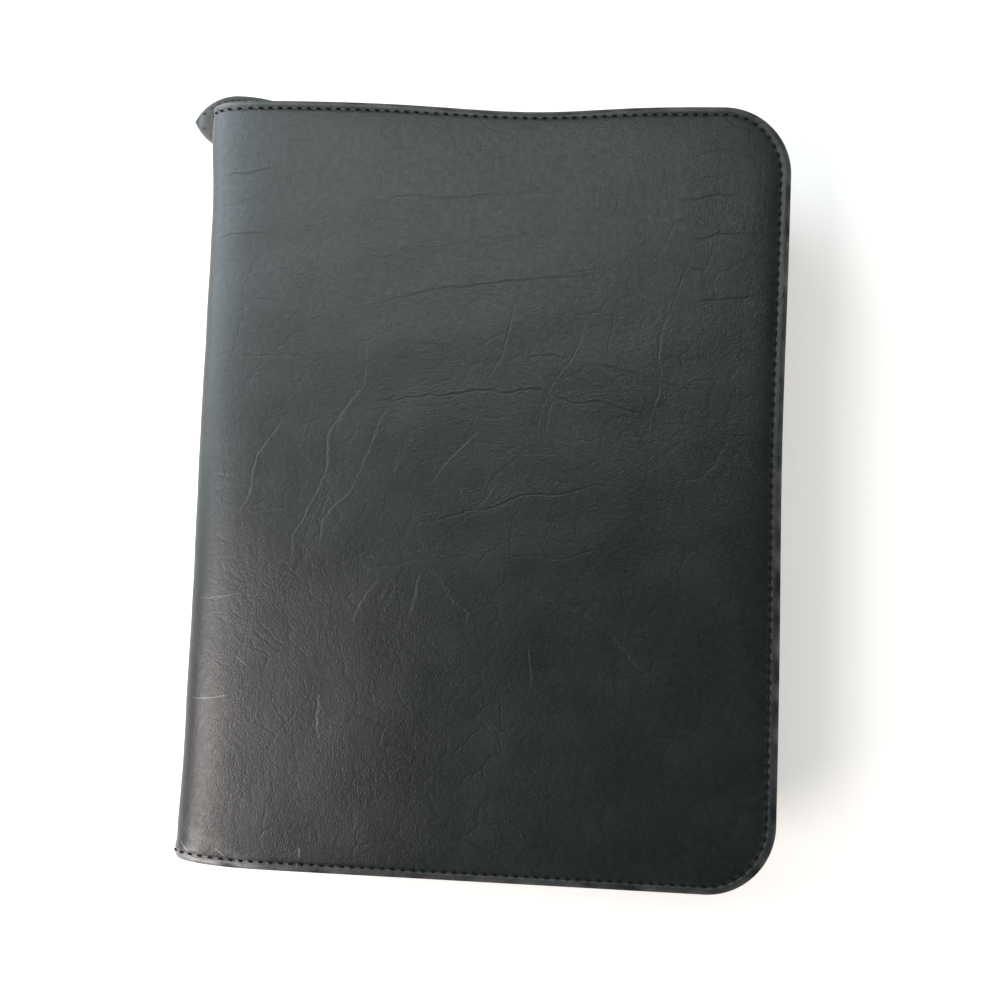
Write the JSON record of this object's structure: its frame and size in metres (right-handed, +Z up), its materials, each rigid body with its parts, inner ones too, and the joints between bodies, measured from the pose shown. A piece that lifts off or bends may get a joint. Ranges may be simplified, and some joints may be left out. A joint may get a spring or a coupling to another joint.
{
  "type": "zippered planner cover",
  "caption": "Zip-round leather planner cover with a folding spine, a ring mechanism inside, pockets, a pen loop and a leather tab on the zip's tail.",
  "frame": {"origin": "middle of the back cover's outer face, on the surface that the closed cover lies on", "axes": "+X from the spine to the zip side, +Y along the spine to the end with the zip's tail, +Z up out of the front cover"},
  "size_m": [0.2245, 0.288, 0.046],
  "materials": {
    "outer_leather": "satin black, fine grain, creased with use",
    "pocket_leather": "thin smooth black",
    "lining": "plain weave, charcoal",
    "zip_tape": "herringbone zip tape, black",
    "elastic": "ribbed elastic, black",
    "board": "grey board",
    "padding": "thin foam sheet",
    "zip_metal": "nickel plated",
    "ring_metal": "bright nickel"
  },
  "bodies": {
    "back_cover": {"back_leather": "outer_leather", "back_padding": "padding", "back_board": "board", "back_lining": "lining", "back_zip_tape": "zip_tape", "back_zip_teeth": "zip_metal", "back_zip_stops": "zip_metal", "back_slip_pocket": "pocket_leather", "pen_loop": "elastic", "zip_tail": "zip_tape", "tab_upper_leaf": "outer_leather", "tab_lower_leaf": "outer_leather"},
    "spine": {"spine_leather": "outer_leather", "spine_padding": "padding", "spine_board": "board", "spine_lining": "lining", "ring_cover_plate": "ring_metal", "ring_rivets": "ring_metal"},
    "front_cover": {"front_leather": "outer_leather", "front_padding": "padding", "front_board": "board", "front_lining": "lining", "front_zip_tape": "zip_tape", "front_zip_teeth": "zip_metal", "front_zip_stops": "zip_metal", "front_slip_pocket": "pocket_leather", "upper_card_pocket": "pocket_leather", "middle_card_pocket": "pocket_leather", "lower_card_pocket": "pocket_leather"},
    "front_ring_half": {"front_blade": "ring_metal", "front_half_rings": "ring_metal"},
    "back_ring_half": {"back_blade": "ring_metal", "back_half_rings": "ring_metal"},
    "top_lever": {"top_trigger": "ring_metal"},
    "bottom_lever": {"bottom_trigger": "ring_metal"},
    "slider": {"zip_slider": "zip_metal"},
    "pull": {"zip_pull": "zip_metal"}
  },
  "joints": [
    {"name": "spine_fold", "type": "hinge", "parent": "back_cover", "child": "spine", "pos_m": [-0.09818, 0, 0.00182], "axis": [0, -1, 0], "range_deg": [0, 90]},
    {"name": "cover_fold", "type": "hinge", "parent": "spine", "child": "front_cover", "pos_m": [-0.09818, 0, 0.04418], "axis": [0, -1, 0], "range_deg": [0, 90]},
    {"name": "rings_open", "type": "hinge", "parent": "spine", "child": "front_ring_half", "pos_m": [-0.0932, 0, 0.0309], "axis": [0, -1, 0], "range_deg": [0, 11.5], "stiffness_Nm_per_rad": 0.5, "springref_deg": -5.73},
    {"name": "back_rings_open", "type": "hinge", "parent": "spine", "child": "back_ring_half", "pos_m": [-0.0932, 0, 0.0151], "axis": [0, 1, 0], "range_deg": [0, 11.5]},
    {"name": "top_lever_press", "type": "hinge", "parent": "spine", "child": "top_lever", "pos_m": [-0.0926, 0.105, 0.023], "axis": [0, 0, 1], "range_deg": [0, 20]},
    {"name": "bottom_lever_press", "type": "hinge", "parent": "spine", "child": "bottom_lever", "pos_m": [-0.0926, -0.105, 0.023], "axis": [0, 0, -1], "range_deg": [0, 20]},
    {"name": "zip_slide", "type": "slide", "parent": "back_cover", "child": "slider", "axis": [1, 0, 0], "range_m": [0, 0.139], "deforming": ["front_zip_teeth", "back_zip_teeth"]},
    {"name": "pull_swing", "type": "hinge", "parent": "slider", "child": "pull", "pos_m": [-0.07, -0.13055, 0.023], "axis": [0, 0, 1], "range_deg": [0, 180]}
  ],
  "couplings": [
    {"joint": "back_rings_open", "follows": "rings_open", "ratio": 1},
    {"joint": "top_lever_press", "follows": "rings_open", "ratio": 1.7391},
    {"joint": "bottom_lever_press", "follows": "rings_open", "ratio": 1.7391}
  ]
}
